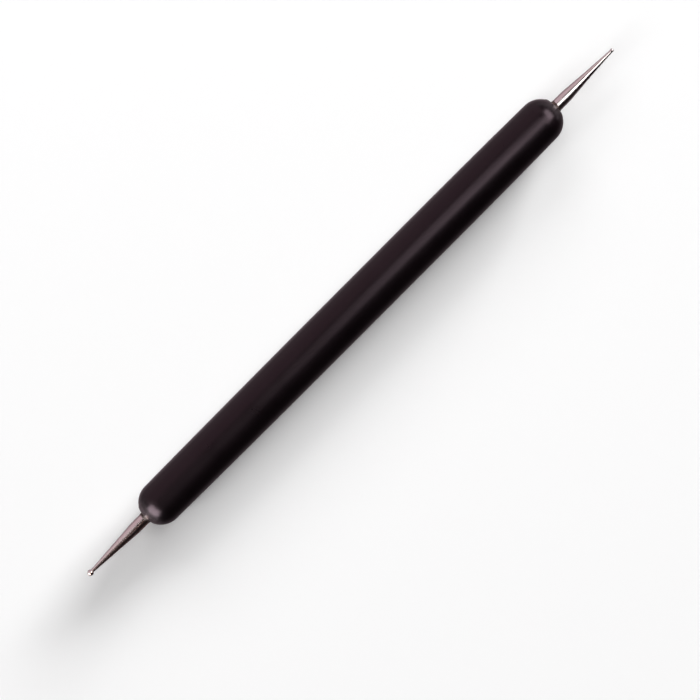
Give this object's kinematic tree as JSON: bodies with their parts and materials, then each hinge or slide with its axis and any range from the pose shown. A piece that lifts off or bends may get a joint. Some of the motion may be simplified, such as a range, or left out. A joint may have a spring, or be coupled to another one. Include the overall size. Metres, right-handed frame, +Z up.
{
  "type": "embossing stylus",
  "caption": "Double-ended ball stylus: slim round soft-touch handle with domed ends and a tapered steel ball tip glued into each end, one broader and one finer.",
  "frame": {"origin": "on the surface that the tool lies on, under the point of the handle's axis halfway between the two ball ends", "axes": "+X along the tool from the broad ball to the fine ball, +Z up from the surface, +Y across the tool"},
  "size_m": [0.125, 0.008, 0.008],
  "materials": {
    "wood": "plain turned hardwood, unfinished",
    "soft_touch": "soft-touch matt black with a warm cast",
    "tip_steel": "bright turned stainless steel",
    "glue": "cured glue, glossy and uneven"
  },
  "bodies": {
    "root": {"handle_core": "wood", "handle_coating": "soft_touch", "broad_tip": "tip_steel", "fine_tip": "tip_steel", "broad_tip_glue": "glue", "fine_tip_glue": "glue"}
  },
  "joints": []
}
